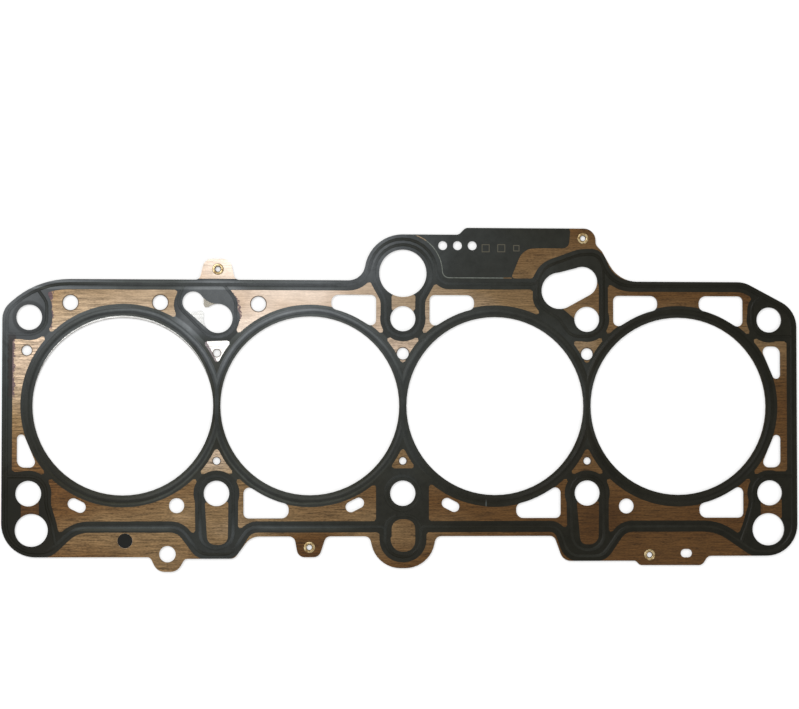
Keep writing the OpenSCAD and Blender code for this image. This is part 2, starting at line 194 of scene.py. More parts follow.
class NodeTree:
    """Small helper that builds a material's nodes.

    Attributes:
        material: The material.
        nodes: Its nodes.
        links: Its links.
        place: Object coordinates, in metres.
        x: Object coordinate X, in millimetres.
        y: Object coordinate Y, in millimetres.
        z: Object coordinate Z, in millimetres.
    """

    def __init__(self, name: str) -> None:
        """Starts an empty material.

        Args:
            name: Name of the material.
        """
        self.material = bpy.data.materials.new(name)
        self.material.use_nodes = True
        self.nodes = self.material.node_tree.nodes
        self.links = self.material.node_tree.links
        self.nodes.clear()
        self.place = self.add("ShaderNodeTexCoord").outputs["Object"]
        split = self.add("ShaderNodeSeparateXYZ")
        self.wire(self.place, split.inputs[0])
        self.x, self.y, self.z = (self.times(out, 1 / MM) for out in split.outputs)

    def add(self, kind: str, **settings: object) -> bpy.types.Node:
        """Adds a node and sets its properties.

        Args:
            kind: Blender's name of the node type.
            **settings: Properties of the node.

        Returns:
            The new node.
        """
        node = self.nodes.new(kind)
        for key, value in settings.items():
            setattr(node, key, value)
        return node

    def wire(self, source: Socket, target: Socket) -> None:
        """Links an output to an input."""
        self.links.new(source, target)

    def feed(self, socket: Socket, value: object) -> None:
        """Sets an input, or links it when the value is itself an output.

        Args:
            socket: The input.
            value: A number, a colour or an output.
        """
        if isinstance(value, bpy.types.NodeSocket):
            self.wire(value, socket)
        else:
            socket.default_value = value

    def noise(self, scale: Sequence[float], detail: float = 3.0, rough: float = 0.5,
              distortion: float = 0.0, offset: Sequence[float] = (0, 0, 0)) -> Socket:
        """Noise on object coordinates.

        Args:
            scale: Features per metre along each axis.
            detail: Octaves.
            rough: Share that each finer octave keeps.
            distortion: How far the pattern is warped.
            offset: Shift of the pattern.

        Returns:
            The noise's value.
        """
        mapping = self.add("ShaderNodeMapping")
        self.wire(self.place, mapping.inputs["Vector"])
        mapping.inputs["Scale"].default_value = scale
        mapping.inputs["Location"].default_value = offset
        node = self.add("ShaderNodeTexNoise")
        self.wire(mapping.outputs["Vector"], node.inputs["Vector"])
        node.inputs["Scale"].default_value = 1.0
        node.inputs["Detail"].default_value = detail
        node.inputs["Roughness"].default_value = rough
        node.inputs["Distortion"].default_value = distortion
        return node.outputs["Fac"]

    def math(self, operation: str, *values: object, clamp: bool = False) -> Socket:
        """A Math node.

        Args:
            operation: Name of the operation.
            *values: Its inputs.
            clamp: Whether the result is held between 0 and 1.

        Returns:
            The result.
        """
        node = self.add("ShaderNodeMath", operation=operation, use_clamp=clamp)
        for socket, value in zip(node.inputs, values):
            self.feed(socket, value)
        return node.outputs[0]

    def fold(self, operation: str, values: Sequence[object]) -> object:
        """Joins any number of values by an operation of two.

        Args:
            operation: Name of the operation.
            values: Numbers and outputs.

        Returns:
            The result.
        """
        total = values[0]
        for value in values[1:]:
            total = self.math(operation, total, value)
        return total

    def plus(self, *values: object) -> Socket:
        """Sum of the values."""
        return self.fold("ADD", values)

    def times(self, *values: object) -> Socket:
        """Product of the values."""
        return self.fold("MULTIPLY", values)

    def most(self, *values: object) -> Socket:
        """Largest of the values."""
        return self.fold("MAXIMUM", values)

    def remap(self, value: Socket, low: float, high: float, to_low: float = 0.0,
              to_high: float = 1.0, smooth: bool = True) -> Socket:
        """Maps a range to another.

        Args:
            value: The input.
            low: Start of the range.
            high: End of the range.
            to_low: Result at the start.
            to_high: Result at the end.
            smooth: Whether the ramp eases in and out.

        Returns:
            The mapped value.
        """
        kind = "SMOOTHSTEP" if smooth else "LINEAR"
        node = self.add("ShaderNodeMapRange", interpolation_type=kind)
        self.wire(value, node.inputs["Value"])
        limits = {"From Min": low, "From Max": high, "To Min": to_low, "To Max": to_high}
        for name, number in limits.items():
            node.inputs[name].default_value = number
        return node.outputs["Result"]

    def ramp(self, value: Socket, stops: Sequence[tuple[float, Colour]], gain: float = 1.0) -> Socket:
        """A colour ramp.

        Args:
            value: The position on the ramp.
            stops: Position and display colour of each stop.
            gain: Share of each stop's light that the ramp gives.

        Returns:
            The colour.
        """
        node = self.add("ShaderNodeValToRGB")
        elements = node.color_ramp.elements
        while len(elements) < len(stops):
            elements.new(0.5)
        for element, (position, rgb) in zip(elements, stops):
            element.position = position
            element.color = [channel * gain for channel in linear(rgb)[:3]] + [1.0]
        self.wire(value, node.inputs["Fac"])
        return node.outputs["Color"]

    def mix(self, factor: object, a: object, b: object, blend: str = "MIX") -> Socket:
        """Mixes two colours.

        Args:
            factor: Share of the second colour.
            a: First colour.
            b: Second colour.
            blend: How the colours are mixed.

        Returns:
            The mixed colour.
        """
        node = self.add("ShaderNodeMix", data_type="RGBA", blend_type=blend)
        self.feed(node.inputs[0], factor)
        self.feed(node.inputs[6], a)
        self.feed(node.inputs[7], b)
        return node.outputs[2]

    def tinted(self, colour: Socket, mask: Socket, share: float, paint: Colour) -> Socket:
        """Paints a display colour over a part of a colour.

        Args:
            colour: The colour below.
            mask: 1 where the paint lies and 0 elsewhere.
            share: How far the paint covers.
            paint: Display colour of the paint.

        Returns:
            The painted colour.
        """
        return self.mix(self.times(mask, share), colour, linear(paint))

    def spot(self, centre: Point, radii: Point, soft: float = 0.6) -> Socket:
        """Mask of a soft elliptic spot.

        Args:
            centre: X and Y in millimetres.
            radii: Half axes in millimetres.
            soft: Share of the radii over which the mask falls to 0.

        Returns:
            1 inside the spot and 0 outside.
        """
        shift = self.add("ShaderNodeVectorMath", operation="SUBTRACT")
        self.wire(self.place, shift.inputs[0])
        shift.inputs[1].default_value = (centre[0] * MM, centre[1] * MM, 0)
        size = self.add("ShaderNodeVectorMath", operation="MULTIPLY")
        self.wire(shift.outputs[0], size.inputs[0])
        size.inputs[1].default_value = (1 / (radii[0] * MM), 1 / (radii[1] * MM), 0)
        reach = self.add("ShaderNodeVectorMath", operation="LENGTH")
        self.wire(size.outputs[0], reach.inputs[0])
        return self.remap(reach.outputs["Value"], 1 - soft, 1.0, 1.0, 0.0)

    def band(self, value: Socket, span: Span, soft: float) -> Socket:
        """Mask of a range with soft ends.

        Args:
            value: The input.
            span: Start and end of the range.
            soft: Half the length over which each end fades.

        Returns:
            1 inside the range and 0 outside.
        """
        low, high = span
        rise = self.remap(value, low - soft, low + soft)
        return self.times(rise, self.remap(value, high - soft, high + soft, 1.0, 0.0))

    def bands(self, value: Socket, spans: Sequence[Span], soft: float) -> Socket:
        """Mask of several ranges with soft ends.

        Args:
            value: The input.
            spans: Start and end of each range.
            soft: Half the length over which each end fades.

        Returns:
            1 inside any range and 0 outside.
        """
        return self.most(*(self.band(value, span, soft) for span in spans))

    def distance(self, dx: Socket, dy: Socket) -> Socket:
        """Length of an arrow with these two sides."""
        return self.math("SQRT", self.plus(self.times(dx, dx), self.times(dy, dy)))

    def reach(self, centre: Point, wobble: float = 0.0) -> Socket:
        """Distance from a point in plan.

        Args:
            centre: X and Y in millimetres.
            wobble: How far noise moves the distance, in millimetres.

        Returns:
            The distance in millimetres.
        """
        dx = self.math("SUBTRACT", self.x, centre[0])
        dy = self.math("SUBTRACT", self.y, centre[1])
        distance = self.distance(dx, dy)
        if wobble:
            ragged = self.noise((700, 700, 1), detail=4.0, rough=0.7)
            distance = self.plus(distance, self.remap(ragged, 0.25, 0.75, -wobble, wobble))
        return distance

    def bore_reach(self) -> Socket:
        """Distance from the middle of the nearest bore, in millimetres."""
        half = BORE_PITCH / 2
        dx = self.math("SUBTRACT", half, self.math("PINGPONG", self.x, half))
        return self.distance(dx, self.y)

    def drift(self, most: float) -> Socket:
        """How far noise moves a ragged edge.

        Args:
            most: Largest shift, in millimetres.

        Returns:
            The shift in millimetres.
        """
        ragged = self.noise((500, 500, 1), detail=4.0, rough=0.7, offset=(4, 4, 0))
        return self.remap(ragged, 0.25, 0.75, -most, most)

    def stained(self, across: Socket, stain: Stain) -> Socket:
        """Mask of a stain.

        Args:
            across: The coordinate across the stain, in millimetres.
            stain: The stain.

        Returns:
            1 on the stain and 0 elsewhere.
        """
        sides = self.band(across, stain.across, stain.edge)
        return self.times(sides, self.band(self.y, stain.along, stain.fade))

    def from_mid_plane(self) -> Socket:
        """Height above or below the gasket's mid-plane, in millimetres."""
        return self.math("ABSOLUTE", self.math("SUBTRACT", self.z, MID_PLANE))

    def walls(self) -> Socket:
        """Mask of the walls: 1 where the face stands upright and 0 where it lies flat."""
        split = self.add("ShaderNodeSeparateXYZ")
        self.wire(self.add("ShaderNodeTexCoord").outputs["Normal"], split.inputs[0])
        return self.remap(self.math("ABSOLUTE", split.outputs["Z"]), 0.3, 0.8, 1.0, 0.0)

    def rims(self, holes: Sequence[Hole], width: float) -> Socket:
        """Mask of thin rings round holes, where painted shade of the hole walls lies.

        Args:
            holes: The holes.
            width: Half the width of a ring, in millimetres.

        Returns:
            1 on the rings and 0 elsewhere.
        """
        rings = []
        for hole in holes:
            span = (hole.radius - width, hole.radius + width)
            rings.append(self.band(self.reach(hole.centre), span, 0.15))
        return self.most(*rings)

    def tone(self, glows: Sequence[Glow]) -> Socket:
        """Sum of broad soft spots of painted highlight and painted shade.

        Args:
            glows: The spots.

        Returns:
            The sum.
        """
        return self.plus(*(self.times(self.spot(g.centre, g.radii, soft=1.0), g.weight) for g in glows))

    def dimmed(self, shade: Socket, dims: Sequence[Dim]) -> Socket:
        """Darkens a grey in soft spots of painted shade.

        Args:
            shade: The grey.
            dims: The spots.

        Returns:
            The darkened grey.
        """
        for dim in dims:
            spot = self.spot(dim.centre, dim.radii, soft=dim.soft)
            shade = self.times(shade, self.remap(spot, 0.0, 1.0, 1.0, dim.level, smooth=False))
        return shade

    def shaded(self, colour: Socket, shade: Socket) -> Socket:
        """Multiplies a colour by a grey.

        Args:
            colour: The colour.
            shade: The factor.

        Returns:
            The shaded colour.
        """
        grey = self.add("ShaderNodeCombineColor")
        for name in ("Red", "Green", "Blue"):
            self.wire(shade, grey.inputs[name])
        return self.mix(1.0, colour, grey.outputs["Color"], "MULTIPLY")

    def bump(self, heights: Sequence[tuple[Socket, float]], strength: float) -> Socket:
        """Chains bumps.

        Args:
            heights: Height and its size in metres, coarse first.
            strength: Strength of each bump.

        Returns:
            The normal.
        """
        normal = None
        for height, distance in heights:
            node = self.add("ShaderNodeBump")
            node.inputs["Strength"].default_value = strength
            node.inputs["Distance"].default_value = distance
            self.wire(height, node.inputs["Height"])
            if normal is not None:
                self.wire(normal, node.inputs["Normal"])
            normal = node.outputs["Normal"]
        return normal

    def end(self, shader: Socket) -> bpy.types.Material:
        """Ends the material in a shader.

        Args:
            shader: The shader's output.

        Returns:
            The finished material.
        """
        self.wire(shader, self.add("ShaderNodeOutputMaterial").inputs["Surface"])
        return self.material

    def close(self, colour: Socket, rough: Socket, metallic: float, normal: Socket,
              **constants: float) -> bpy.types.Material:
        """Ends the material in a Principled shader.

        Args:
            colour: Base colour.
            rough: Roughness.
            metallic: Metallic share.
            normal: Bumped normal.
            **constants: Plain numbers for other inputs, with underscores for spaces.

        Returns:
            The finished material.
        """
        shader = self.add("ShaderNodeBsdfPrincipled")
        self.wire(colour, shader.inputs["Base Color"])
        self.wire(rough, shader.inputs["Roughness"])
        self.wire(normal, shader.inputs["Normal"])
        shader.inputs["Metallic"].default_value = metallic
        for name, number in constants.items():
            shader.inputs[name.replace("_", " ")].default_value = number
        return self.end(shader.outputs["BSDF"])


@dataclass(frozen=True)
class LacqueredSteel:
    """Spring steel under a thin brown lacquer; a painted highlight turns it pale cream towards the
    upper left, so it runs from pale cream to brown along the gasket.

    Attributes:
        stops: Tint, from the brown end to the pale one of the painted highlight.
        glows: Spots of painted highlight and painted shade that place the tint.
        dims: Spots of painted shade on bare fields, which make them darker than the brown end.
        holes: Holes round which painted shade of the walls shows as dark rings.
        calm: Centre and radii of the spot where the streaks are faint.
        grain: How dark the rolled streaks are.
        fine_grain: How dark the finest streaks are.
        roughness: Mean roughness.
        edge: Colour of the painted shade on the walls and round the holes.
        stain: Colour of the stains along the coating.
        stain_bolt: Middle of the bolt beside which a stain runs.
        stain_ring: Inner and outer radius of that stain.
        corner_stain: Stain beside the upper left bolt.
        side_stain: Stain along the left side.
        web_stain: Stain along the left side of a web's triangle.
        web_slope: How far that side leans: X per Y.
        plate_line: Colour of the line beside the marking plate.
        plate_x: Where that line lies along X.
        plate_y: Where that line lies along Y.
    """

    stops: tuple[tuple[float, Colour], ...] = (
        (0.0, (82, 55, 27)),
        (0.12, (90, 63, 33)),
        (0.34, (119, 96, 66)),
        (0.52, (150, 130, 106)),
        (0.68, (184, 163, 143)),
        (0.85, (226, 210, 195)),
        (1.0, (250, 246, 240)),
    )
    glows: tuple[Glow, ...] = (
        Glow((-80, 20), (170, 90), 0.80),
        Glow((-60, 80), (120, 40), 0.66),
        Glow((-100, -60), (170, 26), 0.30),
        Glow((60, 40), (170, 90), 0.30),
        Glow((-180, 20), (80, 60), 0.28),
        Glow((60, -40), (170, 90), 0.10),
        Glow((0, -66), (60, 24), 0.04),
        Glow((88, 29), (16, 12), 0.08),
        Glow((-88, -27), (22, 16), 0.16),
        Glow((-88, 28), (16, 13), 0.30),
        Glow((-104, -47), (26, 10), 0.06),
        Glow((176, 32), (30, 26), 0.22),
        Glow((186, -24), (34, 60), 0.10),
        Glow((-18, -52), (30, 14), 0.08),
        Glow((-176, -50), (14, 14), -0.28),
        Glow((-164, -40), (18, 18), -0.10),
        Glow((-152, -47), (12, 10), -0.05),
        Glow((-112, -77), (24, 14), 0.24),
        Glow((-44, -67), (24, 14), -0.24),
        Glow((98, -54), (26, 18), -0.08),
        Glow((-108, 51), (14, 12), -0.11),
        Glow((-78, 52), (14, 14), -0.09),
        Glow((-40, 52), (20, 12), 0.09),
        Glow((120, 54), (24, 12), -0.06),
    )
    dims: tuple[Dim, ...] = (
        Dim((-175, -49), (9, 7), 0.5, 0.66),
        Dim((95, -54), (26, 18), 0.9, 0.78),
    )
    holes: tuple[Hole, ...] = (
        Hole((-177, 25.8), 2.3),
        Hole((-88, 24.8), 1.7),
        Hole((0, 24.8), 2.8),
        Hole((88, 24.8), 2.8),
        Hole((-88, -26.1), 1.7),
        Hole((0, -26.1), 1.7),
        Hole((88, -26.1), 1.7),
        Hole((-156.8, 48.4), 3.55),
        Hole((-114.7, 48.6), 3.55),
        Hole((-68.5, 48.1), 3.55),
    )
    calm: tuple[Point, Point] = ((-62, 62), (145, 54))
    grain: float = 0.54
    fine_grain: float = 0.32
    roughness: float = 0.42
    edge: Colour = (62, 50, 38)
    stain: Colour = (74, 58, 68)
    stain_bolt: Point = (-90, 44)
    stain_ring: Span = (11.6, 13.2)
    corner_stain: Stain = Stain((-169.5, -165.1), (36, 58), 1.0)
    side_stain: Stain = Stain((-186.0, -182.6), (4, 33), 2.0)
    web_stain: Stain = Stain((-77.6, -75.9), (17, 31), 1.0)
    web_slope: float = 0.5625
    plate_line: Colour = (106, 112, 106)
    plate_x: Span = (11, 48)
    plate_y: Span = (60, 84)

    def tint(self, tree: NodeTree) -> Socket:
        """Tint of the lacquer with its painted highlight and painted shade, from its tone over the
        sheet.

        Args:
            tree: The material's nodes.

        Returns:
            The colour.
        """
        cloud = tree.noise((22, 34, 1), offset=(3.1, 1.7, 0))
        cloud = tree.remap(cloud, 0.3, 0.7, -0.05, 0.05)
        # Painted highlight and painted shade place the tint: pale on the upper left, brown elsewhere.
        tone = tree.math("ADD", tree.tone(self.glows), cloud, clamp=True)
        line = tree.times(tree.band(tree.x, self.plate_x, 0.5), tree.band(tree.y, self.plate_y, 0.5))
        return tree.tinted(tree.ramp(tone, self.stops), line, 0.95, self.plate_line)

    def streaked(self, tree: NodeTree, grain: Socket) -> Socket:
        """Grey of the rolled streaks, which are faint under the painted highlight on the pale steel and
        strong on the brown.

        Args:
            tree: The material's nodes.
            grain: The streaks.

        Returns:
            The factor.
        """
        fine = tree.noise((800, 2600, 1), detail=2.0, offset=(1, 9, 0))
        blotch = tree.noise((150, 190, 1), rough=0.6, offset=(2, 8, 0))
        swing = tree.plus(tree.remap(grain, 0.36, 0.64, -self.grain, self.grain, smooth=False),
                          tree.remap(fine, 0.3, 0.7, -self.fine_grain, self.fine_grain, smooth=False))
        # The streaks fade under the painted highlight.
        pale = tree.times(tree.spot(*self.calm, soft=0.8), 0.74)
        right = tree.remap(tree.x, -20, 60, 0.0, 0.15)
        strength = tree.math("SUBTRACT", 1.0, tree.most(pale, right))
        shade = tree.plus(1.0, tree.times(swing, strength))
        shade = tree.times(shade, tree.remap(blotch, 0.3, 0.7, 0.94, 1.06, smooth=False))
        # Painted shade in two spots of the bare fields.
        return tree.dimmed(shade, self.dims)

    def ragged(self, tree: NodeTree) -> Socket:
        """Mask of the ragged stains that run along parts of the coating's edge.

        Args:
            tree: The material's nodes.

        Returns:
            1 on the stains and 0 elsewhere.
        """
        bolt = tree.band(tree.reach(self.stain_bolt, wobble=1.2), self.stain_ring, 0.15)
        bolt = tree.times(bolt, tree.remap(tree.x, -82, -80))
        drift = tree.drift(1.0)
        upright = tree.plus(tree.x, drift)
        slant = tree.plus(tree.x, tree.times(tree.y, self.web_slope), tree.times(drift, 0.4))
        return tree.most(bolt, tree.stained(upright, self.corner_stain),
                         tree.stained(upright, self.side_stain), tree.stained(slant, self.web_stain))

    def material(self) -> bpy.types.Material:
        """Builds the material."""
        tree = NodeTree("lacquered_steel")
        streaks = tree.noise((130, 1700, 1), rough=0.65, distortion=0.2)
        waves = tree.noise((70, 1050, 1), detail=2.0, distortion=0.6, offset=(7, 3, 0))
        grain = tree.plus(tree.times(streaks, 0.65), tree.times(waves, 0.35))
        colour = tree.shaded(self.tint(tree), self.streaked(tree, grain))
        colour = tree.tinted(colour, self.ragged(tree), 0.85, self.stain)
        # Painted shade on the upright walls and in thin rings round the holes.
        edge = tree.most(tree.times(tree.walls(), 0.8), tree.times(tree.rims(self.holes, 0.42), 0.88))
        colour = tree.tinted(colour, edge, 1.0, self.edge)
        rough = tree.remap(grain, 0.3, 0.7, self.roughness + 0.08, self.roughness - 0.08)
        normal = tree.bump([(waves, 5e-5), (streaks, 1.4e-5)], 0.5)
        return tree.close(colour, rough, 0.72, normal, Specular_IOR_Level=0.4)


@dataclass(frozen=True)
class BrightSteel:
    """Bright rolled sheet.

    Attributes:
        light: Colour of the metal.
        dark: Colour in the rolling lines.
        edge: Colour of the painted shadow on the walls and in the lines at the bore's edge.
        shade: Colour of the lip that lies in the coating's shade.
        bore: Middle of the bore whose lip shows.
        inner_line: Radii of the painted shadow line at the bore's edge.
        outer_line: Radii of the thin painted shadow line outside it.
        lip: Centre and radii of the shaded lip.
    """

    light: Colour = (222, 222, 220)
    dark: Colour = (168, 168, 165)
    edge: Colour = (70, 66, 60)
    shade: Colour = (128, 122, 108)
    bore: Point = (-132, -1.1)
    inner_line: Span = (42.0, 42.68)
    outer_line: Span = (42.82, 43.15)
    lip: tuple[Point, Point] = ((-92, 48), (4.5, 4.2))

    def material(self) -> bpy.types.Material:
        """Builds the material."""
        tree = NodeTree("bright_steel")
        lines = tree.noise((60, 1800, 900), rough=0.6, distortion=0.3)
        colour = tree.ramp(tree.remap(lines, 0.3, 0.7), ((0.0, self.dark), (1.0, self.light)))
        reach = tree.reach(self.bore)
        # Painted shadow on the walls and in two thin lines at the bore's edge.
        outer = tree.times(tree.band(reach, self.outer_line, 0.06), 0.5)
        edge = tree.most(tree.walls(), tree.band(reach, self.inner_line, 0.06), outer)
        colour = tree.tinted(colour, edge, 0.8, self.edge)
        colour = tree.tinted(colour, tree.spot(*self.lip, soft=0.4), 0.85, self.shade)
        rough = tree.remap(lines, 0.3, 0.7, 0.36, 0.24)
        return tree.close(colour, rough, 0.92, tree.bump([(lines, 1e-5)], 0.4))


@dataclass(frozen=True)
class Elastomer:
    """Smooth dark coating, nearly black, with a painted sheen that turns it slate on the upper left,
    where the sheet is pale.

    Attributes:
        stops: Colour, from the black end to the slate one of the painted sheen.
        glows: Spots of painted sheen and painted shade that place the colour everywhere.
        flat_glows: Further spots of painted sheen and painted shade on the flat coating.
        crest_glows: Further spots of painted sheen and painted shade on the beads.
        rings: Rings of painted highlight and painted shade round the bores.
        top: Spot where the rings are strong on the upper left.
        foot: Spot where the rings are strong on the lower left.
        corner_bolt: Middle of the upper left bolt.
        corner_ring: Radii of the ring of painted shade round it.
        shoulders: Where the painted highlights on the upper track's shoulders lie along Y.
        ridge: Where the painted highlight on the lower track's ridge lies along Y.
        sides: Where the painted shade on the lower track's sides lies along Y.
        gain: Share of the stops' light that the base colour gives.
        roughness: Mean roughness.
        sight_hole: Spot of painted shade on the patch seen through the sight hole.
        mark: Colour of the marking squares.
        marks: Spot that holds the squares.
        mark_heights: Where the squares' faces lie above the mid-plane.
        rust: Colour of the rusty strip.
        rust_stain: The rusty strip along the left side.
        scratch: Colour of the scratch below a bore.
        scratch_spot: Spot of that scratch.
    """

    stops: tuple[tuple[float, Colour], ...] = (
        (0.0, (34, 33, 22)),
        (0.16, (42, 40, 29)),
        (0.36, (56, 57, 50)),
        (0.52, (66, 69, 66)),
        (0.68, (82, 86, 85)),
        (0.84, (99, 103, 105)),
        (1.0, (120, 124, 126)),
    )
    glows: tuple[Glow, ...] = (
        Glow((-182, -56), (32, 34), -0.30),
        Glow((-90, -44), (120, 24), 0.16),
        Glow((-182, 0), (30, 60), 0.12),
        Glow((-164, 32), (24, 24), 0.14),
        Glow((-44, 47), (40, 14), 0.10),
        Glow((-88, 0), (9, 30), -0.12),
        Glow((88, 0), (9, 30), 0.16),
        Glow((90, -44), (90, 14), 0.08),
        Glow((14, 64), (14, 24), 0.10),
        Glow((66, 62), (16, 12), 0.10),
        Glow((0, -32), (16, 16), 0.12),
        Glow((-183, 44), (14, 14), 0.08),
    )
    flat_glows: tuple[Glow, ...] = (
        Glow((-60, 20), (250, 120), 0.50),
        Glow((-100, 100), (250, 80), 0.66),
        Glow((-100, -80), (180, 50), 0.50),
        Glow((-180, 80), (60, 120), 0.60),
        Glow((120, 20), (250, 120), 0.15),
        Glow((-30, 84), (70, 40), 0.35),
        Glow((-20, 68), (34, 24), 0.18),
        Glow((-188, 50), (26, 28), 0.18),
        Glow((60, 70), (70, 30), 0.08),
        Glow((-90, 47), (26, 20), 0.75),
        Glow((-101, 38), (14, 14), 0.30),
        Glow((74, 32), (26, 26), 0.08),
    )
    crest_glows: tuple[Glow, ...] = (
        Glow((-60, 20), (250, 120), 0.40),
        Glow((-100, -62), (190, 16), 0.58),
        Glow((120, -80), (130, 50), 0.37),
        Glow((-80, 40), (180, 120), 0.50),
        Glow((10, 62), (80, 18), 0.16),
        Glow((-45, 58), (60, 14), 0.04),
        Glow((50, 48), (70, 30), 0.12),
        Glow((0, -34), (60, 40), 0.10),
        Glow((-18, 68), (34, 24), 0.18),
        Glow((-190, 40), (24, 60), 0.34),
        Glow((-178, 44), (20, 20), 0.20),
        Glow((74, 32), (26, 26), 0.10),
    )
    rings: tuple[Ring, ...] = (
        Ring(41.0, 43.3, 0.10, 0.80, 0.60),
        Ring(43.8, 44.5, -0.12, 0.0, 0.0),
        Ring(44.8, 45.8, 0.10, 1.00, 1.10),
        Ring(46.3, 48.6, 0.0, 1.00, 0.40),
    )
    top: tuple[Point, Point] = ((-75, 75), (150, 95))
    foot: tuple[Point, Point] = ((-90, -60), (130, 60))
    corner_bolt: Point = (-176, 41.4)
    corner_ring: Span = (5.0, 7.8)
    shoulders: tuple[Span, ...] = ((54.8, 56.0), (57.9, 59.0))
    ridge: Span = (-58.8, -57.2)
    sides: tuple[Span, ...] = ((-60.3, -59.4), (-56.6, -55.4))
    gain: float = 0.52
    roughness: float = 0.42
    sight_hole: tuple[Point, Point] = ((-131, -63.7), (5, 5))
    mark: Colour = (88, 84, 72)
    marks: tuple[Point, Point] = ((47, 75), (14, 5))
    mark_heights: Span = (0.66, 0.70)
    rust: Colour = (48, 38, 36)
    rust_stain: Stain = Stain((-185.6, -182.0), (4, 33), 2.0, 0.2)
    scratch: Colour = (104, 110, 108)
    scratch_spot: tuple[Point, Point] = ((39.6, -46.6), (0.35, 2.8))

    def bore_rings(self, tree: NodeTree) -> Socket:
        """Change of light by the painted highlight and painted shade of the rings round the bores.

        Args:
            tree: The material's nodes.

        Returns:
            The change.
        """
        wander = tree.noise((40, 40, 1), detail=2.0, offset=(1, 6, 0))
        wander = tree.remap(wander, 0.3, 0.7, -0.25, 0.25)
        sink = tree.remap(tree.y, -30, 30, -1.0, 0.0)
        reach = tree.plus(tree.bore_reach(), wander, sink)
        top, foot = tree.spot(*self.top), tree.spot(*self.foot)
        changes = []
        # Painted highlight and painted shade in rings round every bore.
        for ring in self.rings:
            weight = tree.plus(tree.times(top, ring.top), tree.times(foot, ring.foot), ring.everywhere)
            changes.append(tree.times(tree.band(reach, (ring.low, ring.high), 0.4), weight))
        return tree.plus(*changes)

    def upper_track(self, tree: NodeTree) -> Socket:
        """Change of light by the painted highlights on the upper track's shoulders, left of the feed
        hole.

        Args:
            tree: The material's nodes.

        Returns:
            The change.
        """
        left = tree.remap(tree.x, -40, -24, 1.0, 0.0)
        # Painted highlights on the upper track's shoulders.
        return tree.times(tree.bands(tree.y, self.shoulders, 0.3), left, 0.80)

    def lower_track(self, tree: NodeTree) -> Socket:
        """Change of light by the painted highlight on the lower track's ridge and the painted shade on
        its sides, where it runs straight.

        Args:
            tree: The material's nodes.

        Returns:
            The change.
        """
        fade = tree.remap(tree.x, -150, 60, 1.0, 0.08)
        # Painted highlight on the ridge and painted shade on the sides.
        ridge = tree.times(tree.band(tree.y, self.ridge, 0.4), fade)
        sides = tree.times(tree.bands(tree.y, self.sides, 0.3), -0.12)
        straight = tree.remap(tree.math("PINGPONG", tree.x, BORE_PITCH / 2), 16, 26)
        return tree.times(tree.plus(ridge, sides), straight)

    def shading(self, tree: NodeTree) -> Socket:
        """Grey of painted highlight and painted shade by which rings, shoulders and ridges differ from
        the rest.

        Args:
            tree: The material's nodes.

        Returns:
            The factor.
        """
        # Painted shade in a ring round the upper left bolt.
        bolt = tree.times(tree.band(tree.reach(self.corner_bolt), self.corner_ring, 0.5), -0.40)
        tracks = tree.plus(self.upper_track(tree), self.lower_track(tree))
        return tree.plus(1.0, self.bore_rings(tree), bolt, tracks)

    def tone(self, tree: NodeTree, height: Socket) -> Socket:
        """Place on the stops, with painted sheen and painted shade, which differs between flat coating
        and bead.

        Args:
            tree: The material's nodes.
            height: Height from the mid-plane, in millimetres.

        Returns:
            The tone, from 0 to 1.
        """
        flat, crest = tree.tone(self.flat_glows), tree.tone(self.crest_glows)
        # Painted sheen and painted shade on the beads' crests differ from those on the flat coating.
        rise = tree.times(tree.remap(height, 0.65, 0.72), tree.math("SUBTRACT", crest, flat))
        cloud = tree.remap(tree.noise((26, 26, 1), offset=(5, 2, 0)), 0.3, 0.7, -0.05, 0.05)
        return tree.math("ADD", tree.plus(tree.tone(self.glows), flat, rise), cloud, clamp=True)

    def material(self) -> bpy.types.Material:
        """Builds the material."""
        tree = NodeTree("elastomer")
        height = tree.from_mid_plane()
        speck = tree.noise((2600, 2600, 2600), detail=2.0)
        mottle = tree.noise((300, 300, 300), detail=4.0, rough=0.65, offset=(0, 4, 0))
        grit = tree.times(tree.remap(mottle, 0.3, 0.7, 0.86, 1.14, smooth=False),
                          tree.remap(speck, 0.3, 0.7, 0.92, 1.08, smooth=False))
        # Painted shade on the patch seen through the sight hole.
        hole_shade = tree.remap(tree.spot(*self.sight_hole, soft=0.2), 0.0, 1.0, 1.0, 0.3)
        colour = tree.ramp(self.tone(tree, height), self.stops, self.gain)
        # Painted highlight and painted shade of rings, tracks and the sight hole multiply the colour.
        colour = tree.shaded(colour, tree.times(grit, hole_shade, self.shading(tree)))
        mark = tree.times(tree.band(height, self.mark_heights, 0.01), tree.spot(*self.marks, soft=0.2))
        colour = tree.tinted(colour, mark, 0.9, self.mark)
        rust = tree.stained(tree.plus(tree.x, tree.drift(0.8)), self.rust_stain)
        colour = tree.tinted(colour, rust, 0.6, self.rust)
        scratch = tree.spot(*self.scratch_spot, soft=0.8)
        colour = tree.tinted(colour, scratch, 0.6, self.scratch)
        rough = tree.remap(mottle, 0.3, 0.7, self.roughness - 0.07, self.roughness + 0.09)
        normal = tree.bump([(mottle, 1.4e-5), (speck, 4e-6)], 0.5)
        return tree.close(colour, rough, 0.0, normal, Specular_IOR_Level=0.12)


